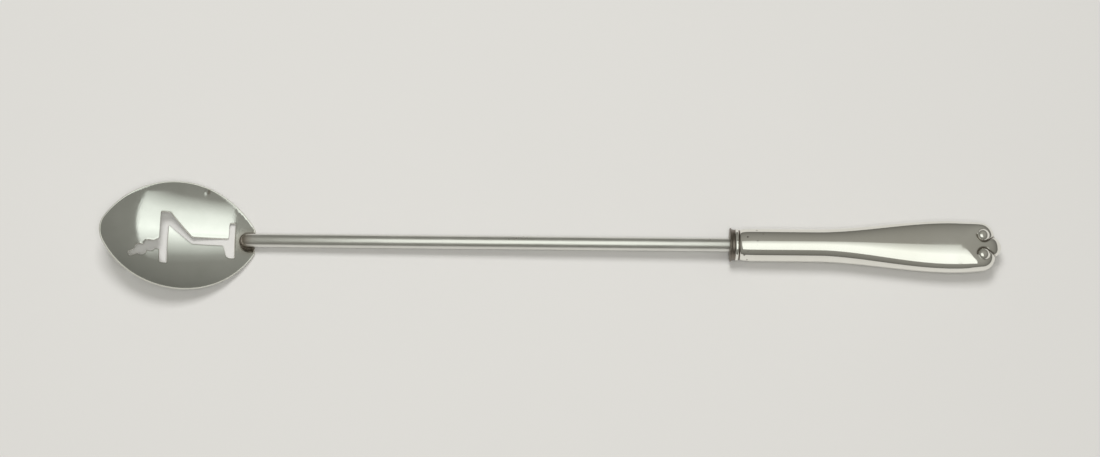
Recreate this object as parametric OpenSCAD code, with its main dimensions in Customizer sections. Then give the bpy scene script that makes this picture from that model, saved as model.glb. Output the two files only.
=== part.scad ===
// Martini spoon: a pierced, dished leaf bowl brazed to a long straight rod, with a hollow silver handle.
// X runs along the spoon, bowl at -X and handle at +X. It lies face up on the surface at Z = 0.

/* [Bowl] */
// Width of the bowl across its widest part
bowl_w = 39.2; // [34:0.2:44]
// Radius in plan of each long side of the leaf
side_r = 31.5; // [29:0.5:36]
// Radius in plan of the rounded tip
tip_r = 8.5; // [5:0.5:11]
// Distance from the cut neck to the widest part
neck_to_widest = 26.9; // [22:0.1:28]
// Thickness of the bowl's sheet
sheet_t = 0.9; // [0.6:0.05:1.4]
// Radius of the dish along the spoon, on its upper face
dish_long_r = 76; // [75:1:110]
// Radius of the dish across the spoon, on its upper face
dish_cross_r = 36; // [30:0.5:37]
// Distance from the cut neck to the deepest line of the dish
neck_to_deepest = 28; // [24:0.5:32]
// Angle by which the bowl is canted up from the rod
bowl_rise = 17.8; // [12:0.1:22]

/* [Pierced glass] */
// Distance from the cut neck to the foot of the glass
neck_to_foot = 6.8; // [5.5:0.1:7.5]
// Width of the slot that makes the foot
foot_slot = 2.05; // [1.6:0.05:3]
// Length of the foot, across the bowl
foot_len = 12.8; // [10:0.2:16]
// Distance from the foot's edge to the middle of the rim
foot_to_rim = 24.7; // [22:0.1:27]
// Width of the slot that makes the rim
rim_slot = 2.8; // [2:0.1:3.4]
// Length of the rim, across the bowl
rim_len = 18.6; // [15:0.2:22]
// Width of the slot that makes the stem
stem_slot = 2.55; // [1.8:0.05:3]
// Distance from the foot's edge to the top of the stem
stem_len = 14.7; // [12:0.1:17]
// Width of the slot that makes the side of the glass
side_slot = 2.5; // [1.8:0.1:3]
// Length of the olive pick beyond the rim
pick_len = 13.2; // [10:0.1:14.5]
// Width of the olive pick
pick_w = 1.8; // [1.2:0.1:2.2]
// Slope of the olive pick
pick_angle = 31; // [22:1:36]
// Diameter of each olive
olive_d = 4.2; // [3.4:0.1:5]

/* [Rod] */
// Diameter of the rod
rod_d = 4.76; // [4:0.02:5.6]
// Length of rod between the bowl's neck and the handle
rod_len = 167.2; // [120:0.2:220]
// Length of the rod's nose that lies on the bowl
nose_lap = 4.8; // [4.2:0.1:5.4]
// Length of the rod's tang inside the handle
tang_len = 34; // [20:1:45]
// Thickness of the braze under the nose
braze_film = 0.05; // [0.02:0.01:0.2]
// Width of the braze fillet round the nose
braze_w = 0.8; // [0.4:0.1:1]

/* [Handle] */
// Length of the handle
handle_len = 95.6; // [85:0.2:115]
// Diameter of the round grip
grip_d = 11.6; // [10.4:0.2:13]
// Width of the handle at its widest
butt_w = 18.6; // [16.4:0.2:21]
// Thickness of the handle at its widest
butt_t = 10; // [8:0.2:12]
// Thickness of the handle's stamped silver
wall = 0.5; // [0.35:0.05:0.7]
// Length of the handle's round stretch before it swells
grip_len = 30; // [22:1:36]
// Distance from the handle's tip back to its widest part
tip_to_widest = 17.6; // [15:0.2:22]
// Diameter of the lip round the handle's mouth
lip_d = 11.9; // [11:0.1:12.6]
// Diameter of the ring behind the lip
ring_d = 11.3; // [10.9:0.1:11.8]
// Diameter at the bottom of the groove behind the ring
groove_d = 10.3; // [10:0.1:10.7]
// Radius of each scroll lobe at the handle's end
lobe_r = 5.1; // [4.4:0.1:5.6]
// Radius of the tongue between the lobes
tongue_r = 3.8; // [3:0.1:4.4]
// Diameter of the bead in each scroll
bead_d = 4.2; // [3:0.1:4.6]
// Height of each bead
bead_h = 1.2; // [0.6:0.05:1.5]
// Width of the groove that outlines each scroll
scroll_groove = 0.6; // [0.4:0.05:0.8]

/* [End cap and filling] */
// Thickness of the cap that closes the handle's mouth
cap_t = 0.8; // [0.5:0.1:1.4]
// Diameter of the handle's mouth, inside
mouth_d = 9.5; // [8.8:0.1:9.6]
// Clearance between the rod and the hole in the cap
rod_clear = 0.05; // [0.02:0.01:0.15]
// Clearance between the cap and the handle's mouth
cap_clear = 0.04; // [0.02:0.01:0.1]
// Length of the cement plug behind the cap
cement_len = 44; // [28:1:50]

/* [Hidden] */

steel = [0.72, 0.74, 0.73];
satin_steel = [0.66, 0.68, 0.67];
solder = [0.55, 0.54, 0.5];
silver = [0.82, 0.82, 0.8];
dark_silver = [0.62, 0.6, 0.56];
plaster = [0.78, 0.74, 0.66];

rod_r = rod_d / 2;
eps = 0.01;
tall = 60;

// The bowl's own frame has its origin on the sheet's upper face at the middle of the cut neck
neck = [-rod_len, 0, -rod_r - braze_film];
dish_z = sqrt(dish_long_r ^ 2 - neck_to_deepest ^ 2);
side_y = side_r - bowl_w / 2;
tip_cx = neck_to_widest + sqrt((side_r - tip_r) ^ 2 - side_y ^ 2);
tip_x = tip_cx + tip_r;
tip_join = neck_to_widest + (tip_cx - neck_to_widest) * side_r / (side_r - tip_r);
under_r = dish_long_r + sheet_t;
tip_under_z = dish_z - sqrt(under_r ^ 2 - (tip_x - neck_to_deepest) ^ 2);

// The spoon lies on the underside of its bowl and on the lip of its handle
dish_c = [neck[0] - neck_to_deepest * cos(bowl_rise) + dish_z * sin(bowl_rise),
          neck[2] + neck_to_deepest * sin(bowl_rise) + dish_z * cos(bowl_rise)];
lip_to_dish = [-dish_c[0], dish_c[1] + lip_d / 2];
lean = atan2(lip_to_dish[1], lip_to_dish[0]) - asin(under_r / norm(lip_to_dish));
bowl_end = neck[0] - tip_x * cos(bowl_rise) + tip_under_z * sin(bowl_rise);
bowl_end_z = neck[2] + tip_x * sin(bowl_rise) + tip_under_z * cos(bowl_rise);
end_x = [bowl_end * cos(lean) - bowl_end_z * sin(lean), handle_len * cos(lean)];
mid_x = (end_x[0] + end_x[1]) / 2;

// The pierced glass, measured back from the neck
foot_x = neck_to_foot + foot_slot / 2;
rim_x = neck_to_foot + foot_to_rim;
stem_x = neck_to_foot + stem_len;
pick_y = -0.25;
pick_root_y = -2.7;
pick_root_w = 2.8;
olive_places = [0.4, 0.655];
foot_shift = 0.35;
web_reach = 1.7;
web_inset = 0.4;
stem_root = 2.8;
rim_flare = 0.2;
side_lap = 0.45;
side_spread = 1.75;

// The handle's plan: body, then two scroll lobes with a tongue between them
widest_s = handle_len - tip_to_widest;
lobe_s = handle_len - 7.4;
lobe_y = 3.6;
lobe_turn = 86;
tongue_s = handle_len - tongue_r;
lobe_end = lobe_s + lobe_r * sin(lobe_turn);
shoulder_len = 9;
taper_r = 90;
end_power = 2.05;
section_power = 2.4;
bead_s = handle_len - 6.5;
bead_y = 3.5;
bead_root = 0.25;
groove_depth = 0.25;
section_steps = 24;
inside_steps = 16;

function ease(t) = let (c = min(max(t, 0), 1)) c * c * (3 - 2 * c);
function body_w(s) = grip_d / 2 + (butt_w - grip_d) / 2 * ease((s - grip_len) / (widest_s - grip_len))
    - max(0, s - widest_s) ^ 2 / (2 * taper_r);
function lobe_w(s) = s < lobe_s ? butt_w : s > lobe_end ? 0 : lobe_y + sqrt(lobe_r ^ 2 - (s - lobe_s) ^ 2);
function tongue_w(s) = s < tongue_s ? 0 : sqrt(tongue_r ^ 2 - (s - tongue_s) ^ 2);
function half_w(s) = max(min(body_w(s), lobe_w(s)), tongue_w(s));
function end_round(s) = (1 - (max(0, s - widest_s) / tip_to_widest) ^ end_power) ^ (1 / end_power);
function half_t(s) = (grip_d + (butt_t - grip_d) * ease((s - grip_len) / (widest_s - grip_len))) / 2
    * end_round(s);
function power(s) = 2 + (section_power - 2) * ease((s - grip_len) / (widest_s - grip_len));
function face_z(s, y) = half_t(s) * (1 - (abs(y) / half_w(s)) ^ power(s)) ^ (1 / power(s));

// Each scroll is a bead with a groove round its inner side, which runs out to the notch by the tongue
bead_r = (bead_d ^ 2 / 4 + bead_h ^ 2) / (2 * bead_h);
groove_r = (scroll_groove ^ 2 / 4 + groove_depth ^ 2) / (2 * groove_depth);
scroll_r = (bead_d + scroll_groove) / 2;
scroll_turn = 296;
scroll_steps = 7;
exit_steps = 3;
notch_inset = 0.3;
notch = [lobe_end - notch_inset, tongue_w(lobe_end) - notch_inset];
scroll_exit = [bead_s + scroll_r * cos(scroll_turn), bead_y + scroll_r * sin(scroll_turn)];
scroll_path = concat(
    [for (i = [0 : scroll_steps]) let (a = 180 + (scroll_turn - 180) * i / scroll_steps)
        [bead_s + scroll_r * cos(a), bead_y + scroll_r * sin(a)]],
    [for (i = [1 : exit_steps]) scroll_exit + (notch - scroll_exit) * i / exit_steps]);
slope_step = 0.1;
bead_lean = [
    atan((face_z(bead_s, bead_y + slope_step) - face_z(bead_s, bead_y - slope_step)) / (2 * slope_step)),
    -atan((face_z(bead_s + slope_step, bead_y) - face_z(bead_s - slope_step, bead_y)) / (2 * slope_step))];

// Mouldings of the mouth, each a distance and a radius: lip, hollow, ring, groove, shoulder
hollow_drop = 0.3;
lip_w = 0.4;
hollow_end = 1.9;
ring_end = 3;
groove_end = 3.5;
mouldings = concat(
    [[0, lip_d / 2], [lip_w, lip_d / 2]],
    [for (a = [30 : 30 : 90]) [lip_w + (hollow_end - lip_w) * (1 - cos(a)),
        lip_d / 2 - (lip_d / 2 - ring_d / 2 + hollow_drop) * sin(a)]],
    [for (a = [45 : 45 : 135]) [hollow_end + (ring_end - hollow_end) * (1 - cos(a)) / 2,
        ring_d / 2 - hollow_drop + hollow_drop * sin(a)]],
    [[ring_end + 0.1, groove_d / 2], [groove_end, groove_d / 2]],
    [for (t = [0.2 : 0.2 : 1]) [groove_end + (shoulder_len - groove_end) * t * t,
        groove_d / 2 + (grip_d - groove_d) / 2 * sin(90 * t)]]);

// Stations along the handle, each a distance, half width, half thickness and section power
function station(s) = [s, half_w(s), half_t(s), power(s)];
body_steps = 17;
outer_stations = concat(
    [for (m = mouldings) [m[0], m[1], m[1], 2]],
    [for (i = [1 : body_steps]) station(shoulder_len + (lobe_s - shoulder_len) * i / body_steps)],
    [for (a = [12 : 12 : 84]) station(lobe_s + lobe_r * sin(a))],
    [for (a = [30 : 11 : 85]) station(tongue_s + tongue_r * sin(a))]);
inside_end = lobe_s + lobe_r - 1.2;
function inside_w(s) = min(half_w(s) - wall, mouth_d / 2 + max(0, s - groove_end) * 0.25);
function inside_t(s) = min(half_t(s) - wall, mouth_d / 2 + max(0, s - groove_end) * 0.25);
inside_body_steps = 14;
inside_stations = concat(
    [[0, mouth_d / 2, mouth_d / 2, 2], [groove_end, mouth_d / 2, mouth_d / 2, 2]],
    [for (i = [1 : inside_body_steps])
        let (s = groove_end + (lobe_s - groove_end) * i / inside_body_steps)
        [s, inside_w(s), inside_t(s), power(s)]],
    [for (a = [20 : 20 : 60]) let (s = lobe_s + (inside_end - lobe_s) * sin(a))
        [s, inside_w(s), inside_t(s), power(s)]]);

// Half of a rounded section, from its +Y edge over the top to its -Y edge
function half_section(st, steps) = [for (i = [0 : steps]) let (a = 180 * i / steps, p = 2 / st[3])
    [st[0], st[1] * sign(cos(a)) * abs(cos(a)) ^ p, i == 0 || i == steps ? 0 : st[2] * sin(a) ^ p]];
function skin_faces(rows, steps, first, flip) = [for (r = [0 : rows - 2]) for (i = [0 : steps - 1])
    let (a = first + r * (steps + 1) + i, b = a + steps + 1)
    each (flip ? [[a, a + 1, b + 1], [a, b + 1, b]] : [[a, b + 1, a + 1], [a, b, b + 1]])];

// Triangles between two rows of points that run side by side, each row with its own places along the run
function ladder(a, b, a_at, b_at, i = 0, j = 0) =
    i == len(a) - 1 && j == len(b) - 1 ? []
    : j == len(b) - 1 || (i < len(a) - 1 && a_at[i + 1] <= b_at[j + 1])
        ? concat([[a[i], a[i + 1], b[j]]], ladder(a, b, a_at, b_at, i + 1, j))
        : concat([[a[i], b[j + 1], b[j]]], ladder(a, b, a_at, b_at, i, j + 1));

// One stamped half of the hollow handle: an outer skin, an inner skin and the flat edges that join them
module handle_shell() {
    outer_n = len(outer_stations);
    inner_n = len(inside_stations);
    o = section_steps + 1;
    n = inside_steps + 1;
    first_in = outer_n * o;
    last_out = (outer_n - 1) * o;
    last_in = first_in + (inner_n - 1) * n;
    points = concat(
        [for (st = outer_stations) each half_section(st, section_steps)],
        [for (st = inside_stations) each half_section(st, inside_steps)]);
    outer_s = [for (st = outer_stations) st[0]];
    inner_s = [for (st = inside_stations) st[0]];
    outer_left = [for (r = [0 : outer_n - 1]) r * o];
    outer_right = [for (r = [0 : outer_n - 1]) r * o + section_steps];
    inner_left = [for (r = [0 : inner_n - 1]) first_in + r * n];
    inner_right = [for (r = [0 : inner_n - 1]) first_in + r * n + inside_steps];
    polyhedron(points = points, convexity = 6, faces = concat(
        skin_faces(outer_n, section_steps, 0, false),
        skin_faces(inner_n, inside_steps, first_in, true),
        ladder([for (i = [0 : section_steps]) i], [for (i = [0 : inside_steps]) first_in + i],
            [for (i = [0 : section_steps]) i / section_steps],
            [for (i = [0 : inside_steps]) i / inside_steps]),
        ladder(inner_left, outer_left, inner_s, outer_s),
        ladder(outer_right, inner_right, outer_s, inner_s),
        [[last_in, last_in + inside_steps, last_out + section_steps],
         [last_in, last_out + section_steps, last_out]],
        [for (i = [1 : section_steps - 1]) [last_out, last_out + i + 1, last_out + i]],
        [for (i = [1 : inside_steps - 1]) [last_in, last_in + i, last_in + i + 1]]));
}

module bead() {
    rotate_extrude($fn = 32)
        intersection() {
            translate([0, bead_h - bead_r])
                circle(r = bead_r, $fn = 48);
            translate([0, -bead_root])
                square([bead_d, bead_h + bead_root]);
        }
}

// The shell with its two scrolls, each a bead standing on the face and a groove cut round it
module handle_half() {
    difference() {
        union() {
            handle_shell();
            for (side = [0, 1])
                mirror([0, side, 0])
                    translate([bead_s, bead_y, face_z(bead_s, bead_y)])
                        rotate([bead_lean[0], bead_lean[1], 0])
                            bead();
        }
        for (side = [-1, 1]) {
            places = [for (p = scroll_path)
                [p[0], side * p[1], face_z(p[0], p[1]) + groove_r - groove_depth]];
            for (i = [1 : len(places) - 1])
                hull() {
                    translate(places[i - 1])
                        sphere(r = groove_r, $fn = 8);
                    translate(places[i])
                        sphere(r = groove_r, $fn = 8);
                }
        }
    }
}

// Everything is modelled with the rod on the X axis and the handle's mouth at X = 0, then laid down
module lay_down() {
    translate([-mid_x, 0, lip_d / 2 * cos(lean)])
        rotate([0, -lean, 0])
            children();
}

module in_bowl_frame() {
    lay_down()
        translate(neck)
            rotate([0, bowl_rise, 0])
                children();
}

// The dish's double curve: a thick skin under its upper face, or the room above it
module dish_curve(below, above) {
    translate([-neck_to_deepest, 0, dish_z])
        rotate([90, 0, 0])
            rotate_extrude($fn = 240)
                intersection() {
                    translate([dish_long_r - dish_cross_r, 0])
                        difference() {
                            circle(r = dish_cross_r + below, $fn = 160);
                            circle(r = dish_cross_r - above, $fn = 160);
                        }
                    translate([dish_long_r - dish_cross_r * 0.6, -bowl_w * 0.7])
                        square([dish_cross_r, bowl_w * 1.4]);
                }
}

module leaf_outline() {
    difference() {
        intersection_for (side = [-1, 1])
            translate([-neck_to_widest, side * side_y])
                circle(r = side_r, $fn = 180);
        translate([0, -bowl_w / 2])
            square(bowl_w);
        translate([-tip_join - bowl_w, -bowl_w / 2])
            square(bowl_w);
    }
    difference() {
        translate([-tip_cx, 0])
            circle(r = tip_r, $fn = 120);
        translate([-tip_join, -bowl_w / 2])
            square(bowl_w);
    }
}

// The cocktail glass lies along the bowl with its foot at the neck: one side, the stem and the foot are
// slots, the rim is a slot across, and a pick with two olives leans out of it
module pierced_glass() {
    foot_side = foot_shift - foot_len / 2;
    side_foot = rim_len / 2 - side_slot * side_spread;
    pick_reach = rim_slot / 2 + pick_len;
    root_len = pick_reach * olive_places[0] * cos(pick_angle);
    translate([-foot_x - foot_slot / 2, foot_side])
        square([foot_slot, foot_len]);
    polygon([[-foot_x, foot_side + web_inset], [-foot_x - web_reach, foot_side + web_inset],
             [-foot_x - stem_root, -stem_slot / 2], [-foot_x, -stem_slot / 2]]);
    translate([-stem_x, -stem_slot / 2])
        square([stem_len - foot_slot / 2, stem_slot]);
    polygon([[-stem_x, stem_slot / 2], [-rim_x + rim_slot / 2 + side_lap, rim_len / 2],
             [-rim_x, rim_len / 2], [-rim_x, side_foot],
             [-rim_x + rim_slot / 2, side_foot], [-stem_x, -stem_slot / 2]]);
    polygon([[-rim_x - rim_slot / 2 - rim_flare, rim_len / 2],
             [-rim_x + rim_slot / 2 + rim_flare, rim_len / 2],
             [-rim_x + rim_slot / 2 - rim_flare, -rim_len / 2],
             [-rim_x - rim_slot / 2, -rim_len / 2]]);
    translate([-rim_x - root_len, pick_root_y - pick_root_w / 2])
        square([root_len, pick_root_w]);
    translate([-rim_x, pick_y])
        rotate(180 + pick_angle) {
            translate([0, -pick_w / 2])
                square([pick_reach, pick_w]);
            for (along = olive_places)
                translate([along * pick_reach, 0])
                    circle(d = olive_d, $fn = 40);
        }
}

module bowl() {
    color(steel)
        in_bowl_frame()
            difference() {
                intersection() {
                    dish_curve(sheet_t, 0);
                    linear_extrude(tall, center = true)
                        leaf_outline();
                }
                linear_extrude(tall, center = true)
                    pierced_glass();
            }
}

// A round bar along X with a rounded nose at its -X end
module nosed_bar(r, nose_x, end_x) {
    translate([nose_x, 0, 0])
        rotate([0, 90, 0])
            rotate_extrude($fn = 96)
                intersection() {
                    union() {
                        translate([0, r])
                            circle(r = r, $fn = 96);
                        translate([0, r])
                            square([r, end_x - nose_x - r]);
                    }
                    square([r, end_x - nose_x]);
                }
}

// The rod, with its rounded nose on the bowl and its plain tang in the handle
module rod_shape() {
    nosed_bar(rod_r, -rod_len - nose_lap, tang_len);
}

module rod() {
    color(satin_steel)
        lay_down()
            rod_shape();
}

// The braze that joins the rod's nose to the bowl, a bead hugging the rod from just below its middle
module braze() {
    bead_top = -rod_r * 0.4;
    color(solder)
        difference() {
            lay_down()
                nosed_bar(rod_r + braze_w, -rod_len - nose_lap - braze_w, -rod_len);
            lay_down()
                translate([-rod_len - tall / 2, -tall / 2, bead_top])
                    cube(tall);
            lay_down()
                rod_shape();
            in_bowl_frame()
                dish_curve(rod_r, 0);
        }
}

module end_cap() {
    color(dark_silver)
        lay_down()
            rotate([0, 90, 0])
                difference() {
                    cylinder(d = mouth_d - 2 * cap_clear, h = cap_t, $fn = 96);
                    translate([0, 0, -eps])
                        cylinder(r = rod_r + rod_clear, h = cap_t + 2 * eps, $fn = 64);
                }
}

module handle_front() {
    color(silver)
        lay_down()
            handle_half();
}

module handle_back() {
    color(silver)
        lay_down()
            mirror([0, 0, 1])
                handle_half();
}

// The cement that fills the grip and holds the tang
module cement() {
    color(plaster)
        lay_down()
            rotate([0, 90, 0])
                difference() {
                    translate([0, 0, cap_t])
                        cylinder(d = mouth_d - 2 * cap_clear, h = cement_len, $fn = 96);
                    translate([0, 0, cap_t - eps])
                        cylinder(r = rod_r, h = tang_len - cap_t + eps, $fn = 64);
                }
}

bowl();
rod();
braze();
end_cap();
handle_front();
handle_back();
cement();
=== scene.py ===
import math

import bpy
import numpy as np
from mathutils import Matrix, Vector
from mathutils.geometry import delaunay_2d_cdt


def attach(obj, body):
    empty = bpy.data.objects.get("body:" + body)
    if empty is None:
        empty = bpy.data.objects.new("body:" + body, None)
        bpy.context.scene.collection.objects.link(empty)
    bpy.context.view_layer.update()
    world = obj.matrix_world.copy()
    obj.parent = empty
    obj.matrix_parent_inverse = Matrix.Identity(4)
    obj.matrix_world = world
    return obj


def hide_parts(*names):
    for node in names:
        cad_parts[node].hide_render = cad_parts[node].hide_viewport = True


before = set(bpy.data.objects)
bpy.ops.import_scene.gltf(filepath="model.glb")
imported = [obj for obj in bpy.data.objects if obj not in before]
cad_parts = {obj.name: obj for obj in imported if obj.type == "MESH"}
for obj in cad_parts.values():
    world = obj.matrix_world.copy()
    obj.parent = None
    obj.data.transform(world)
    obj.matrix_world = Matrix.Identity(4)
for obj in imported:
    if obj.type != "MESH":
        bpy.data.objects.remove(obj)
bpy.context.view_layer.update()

# All shapes are worked out in millimetres with the rod on the X axis and the handle's mouth at X = 0,
# then laid down on the table by layDown(). In the bowl's plan U runs from its neck to its tip and V toward
# the back

rod = {
    "radius": 2.38,
    "length": 167.2,  # from the bowl's neck to the handle's mouth
    "noseLap": 4.8,  # how far its nose lies over the bowl
    "tang": 34.0,  # how far it runs inside the handle
    "brazeFilm": 0.05,
    "sides": 96,
    "noseStep": 5.8,  # degrees
    "ringStep": 2.0,
    "tintStart": 1.0,  # heat tint on the nose: where it begins to fade, over what length and how fast
    "tintLength": 4.2,
    "tintPower": 1.3,
}

bowl = {
    "width": 39.2,
    "sideRadius": 31.5,
    "tipRadius": 8.5,
    "neckToWidest": 26.9,
    "sheet": 0.9,  # thickness
    "dishLong": 76.0,  # radius of the dish along the spoon
    "dishAcross": 36.0,  # and across it
    "neckToDeepest": 28.0,
    "rise": 17.8,  # degrees
    "rimRound": 0.44,  # how far the outer edge is rubbed round
    "slotRound": 0.13,
    "edgeTurns": (22, 45, 68, 90),  # degrees, the rows that round an edge
    "cornerPasses": 5,  # softening of the slots' corners
    "meshStep": 0.5,
    "leafStep": 0.34,  # spacing along the outline
    "slotCut": 0.4,  # and along the slots, before and after they are joined
    "slotStep": 0.22,
    "nosePatch": ((0.6, 7.0), (-4.2, 4.9)),  # U and V range of the closer points round the rod's nose
    "noseStep": 0.25,
    "dingPlace": (18.1, 17.05),
    "dingDepth": 0.19,
    "dingReach": (0.52, 0.95),
    "dingRings": (0.01, 0.2, 0.4, 0.6, 0.8, 1.0, 1.25),  # closer points round the ding
    "dingPatch": 1.5,
    "stainPlace": (17.15, 16.85),  # the ding's brown side, toward the neck
    "stainReach": (0.42, 0.85),
    "stainShare": 0.5,
    "noseMiddle": 2.6,  # middle of the rod's round nose, where the heat tint and the dark ring at the joint are centred
    "heatReach": 3.2,
    "heatEnd": 9.0,
    "jointShadeShift": 0.7,  # dark ring round the rod's nose, the braze joint's dark edge with painted contact shade, a little toward the back
    "jointShadeGap": 0.1,
    "jointShadeFade": 0.45,
}

mouth = {"lip": 11.9, "handleLength": 95.6}  # what laying the spoon down needs of the handle

tiny = 1e-12  # keeps divisions from failing
rowShare = 0.866  # row spacing of a triangular lattice, in steps


def turnY(p, degrees):
    c, s = math.cos(math.radians(degrees)), math.sin(math.radians(degrees))
    x, y, z = p[..., 0], p[..., 1], p[..., 2]
    return np.stack([x * c + z * s, y, -x * s + z * c], -1)


# Where the dish, the neck and the tip are, and how far the whole spoon leans on the table
neck = np.array([-rod["length"], 0.0, -rod["radius"] - rod["brazeFilm"]])
dishZ = math.sqrt(bowl["dishLong"] ** 2 - bowl["neckToDeepest"] ** 2)
sideY = bowl["sideRadius"] - bowl["width"] / 2
tipReach = bowl["sideRadius"] - bowl["tipRadius"]
tipCentre = bowl["neckToWidest"] + math.sqrt(tipReach ** 2 - sideY ** 2)
tipX = tipCentre + bowl["tipRadius"]
tipJoin = bowl["neckToWidest"] + (tipCentre - bowl["neckToWidest"]) * bowl["sideRadius"] / tipReach
underRadius = bowl["dishLong"] + bowl["sheet"]
tipUnderZ = dishZ - math.sqrt(underRadius ** 2 - (tipX - bowl["neckToDeepest"]) ** 2)
riseCos, riseSin = math.cos(math.radians(bowl["rise"])), math.sin(math.radians(bowl["rise"]))
dishCentre = (neck[0] - bowl["neckToDeepest"] * riseCos + dishZ * riseSin,
              neck[2] + bowl["neckToDeepest"] * riseSin + dishZ * riseCos)
lipToDish = (-dishCentre[0], dishCentre[1] + mouth["lip"] / 2)
lean = math.degrees(math.atan2(lipToDish[1], lipToDish[0]) - math.asin(underRadius / math.hypot(*lipToDish)))
leanCos, leanSin = math.cos(math.radians(lean)), math.sin(math.radians(lean))
bowlEndX = neck[0] - tipX * riseCos + tipUnderZ * riseSin
bowlEndZ = neck[2] + tipX * riseSin + tipUnderZ * riseCos
midX = (bowlEndX * leanCos - bowlEndZ * leanSin + mouth["handleLength"] * leanCos) / 2


def layDown(p):
    return turnY(np.asarray(p, float), -lean) + np.array([-midX, 0, mouth["lip"] / 2 * leanCos])


def inBowl(p):
    return layDown(turnY(np.asarray(p, float), bowl["rise"]) + neck)


def makePiece(name, points, faces, masks):
    mesh = bpy.data.meshes.new(name)
    mesh.from_pydata((np.asarray(points) / 1000).tolist(), [], [list(map(int, f)) for f in faces])
    for label, values in masks.items():
        layer = mesh.attributes.new(label, "FLOAT", "POINT")
        layer.data.foreach_set("value", np.asarray(values, np.float32))
    mesh.validate()
    mesh.shade_smooth()
    mesh.update()
    piece = bpy.data.objects.new(name, mesh)
    bpy.context.scene.collection.objects.link(piece)
    return piece


def makeRod():
    r, sides, tang = rod["radius"], rod["sides"], rod["tang"]
    noseX = -rod["length"] - rod["noseLap"]
    stations = [(noseX + r * (1 - math.cos(a)), r * math.sin(a))
                for a in np.radians(np.arange(3, 91, rod["noseStep"]))]
    stations += [(x, r) for x in np.arange(noseX + r + rod["ringStep"], tang, rod["ringStep"])] + [(tang, r)]
    turn = np.linspace(0, 2 * math.pi, sides, endpoint=False)
    rings = [np.stack([np.full(sides, x), radius * np.cos(turn), radius * np.sin(turn)], 1)
             for x, radius in stations]
    points = np.vstack([[[noseX, 0, 0]]] + rings + [[[tang, 0, 0]]])
    last, lastRing = len(points) - 1, 1 + (len(stations) - 1) * sides
    faces = [(0, 1 + (i + 1) % sides, 1 + i) for i in range(sides)]
    faces += [(a + i, a + (i + 1) % sides, a + sides + (i + 1) % sides, a + sides + i)
              for a in range(1, lastRing, sides) for i in range(sides)]
    faces += [(last, lastRing + i, lastRing + (i + 1) % sides) for i in range(sides)]
    fromNose = (points[:, 0] - noseX - rod["tintStart"]) / rod["tintLength"]
    return makePiece("spoonRod", layDown(points), faces,
                     {"heatTint": np.clip(1 - fromNose, 0, 1) ** rod["tintPower"]})


def closed(loop):
    return np.vstack([loop, loop[:1]])


def distanceTo(points, line):
    # distance from each point to a line of short runs, a block of points at a time
    a, b = line[:-1], line[1:]
    run = b - a
    lengths = np.maximum((run ** 2).sum(1), tiny)
    best = np.zeros(len(points))
    block = 4000
    for start in range(0, len(points), block):
        p = points[start:start + block, None, :]
        t = np.clip(((p - a) * run).sum(2) / lengths, 0, 1)
        best[start:start + block] = np.linalg.norm(p - a - run * t[..., None], axis=2).min(1)
    return best


def lengthsAlong(line):
    return np.concatenate([[0], np.cumsum(np.linalg.norm(np.diff(line, axis=0), axis=1))])


def pointsAt(line, lengths, at):
    return np.stack([np.interp(at, lengths, line[:, i]) for i in (0, 1)], 1)


def resample(loop, step):
    # even spacing round a closed loop
    ring = closed(loop)
    lengths = lengthsAlong(ring)
    count = int(round(lengths[-1] / step))
    return pointsAt(ring, lengths, np.linspace(0, lengths[-1], count, endpoint=False))


def insidePolygon(points, loop):
    x, y = points[:, 0], points[:, 1]
    inside = np.zeros(len(points), bool)
    for (x0, y0), (x1, y1) in zip(loop, np.roll(loop, -1, 0)):
        crossing = (y0 > y) != (y1 > y)
        if crossing.any():
            inside ^= crossing & (x < (x1 - x0) * (y - y0) / ((y1 - y0) if y1 != y0 else tiny) + x0)
    return inside


def lattice(us, low, high, step):
    # a triangular lattice: every other row is moved by half a step
    vs = np.arange(low, high, step * rowShare)
    return np.array([(u + (i % 2) * step / 2, v) for i, v in enumerate(vs) for u in us])


def triangulate(points, edges, tolerance):
    # triangles, their middles, and for each new point the numbers of the old ones it stands for
    made = delaunay_2d_cdt([Vector(p) for p in points], edges, [], 0, tolerance)
    verts = np.array([tuple(v) for v in made[0]])
    faces = np.array([f for f in made[2] if len(f) == 3])
    return verts, faces, verts[faces].mean(1), made[3]


def leafLoop():
    sidePoints, tipPoints = 400, 120
    us = np.linspace(0, tipJoin, sidePoints)
    side = np.sqrt(np.maximum(bowl["sideRadius"] ** 2 - (us - bowl["neckToWidest"]) ** 2, 0)) - sideY
    joinAngle = math.acos((tipJoin - tipCentre) / bowl["tipRadius"])
    turn = np.linspace(joinAngle, -joinAngle, tipPoints)[1:-1]
    upper = np.stack([us, side], 1)
    tip = np.stack([tipCentre + bowl["tipRadius"] * np.cos(turn), bowl["tipRadius"] * np.sin(turn)], 1)
    lower = upper[::-1] * [1, -1]
    return resample(np.vstack([upper, tip, lower]), bowl["leafStep"])


# The cocktail glass that is cut through the bowl, its foot toward the neck
glass = {
    "neckToFoot": 6.8,
    "footSlot": 2.05,
    "footLength": 12.8,
    "footShift": 0.35,
    "footToRim": 24.7,
    "rimSlot": 2.8,
    "rimLength": 18.6,
    "rimFlare": 0.2,
    "stemSlot": 2.55,
    "stemLength": 14.7,
    "stemRoot": 2.8,
    "webReach": 1.7,  # the corner between foot and stem
    "webInset": 0.4,
    "sideSlot": 2.5,
    "sideSpread": 1.75,
    "sideLap": 0.45,
    "pickPlace": -0.25,
    "pickLength": 13.2,
    "pickWidth": 1.8,
    "pickAngle": 31.0,
    "pickRootPlace": -2.7,
    "pickRootWidth": 2.8,
    "olive": 4.2,
    "olivePlaces": (0.4, 0.655),  # along the pick
    "oliveSides": 40,
}


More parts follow.
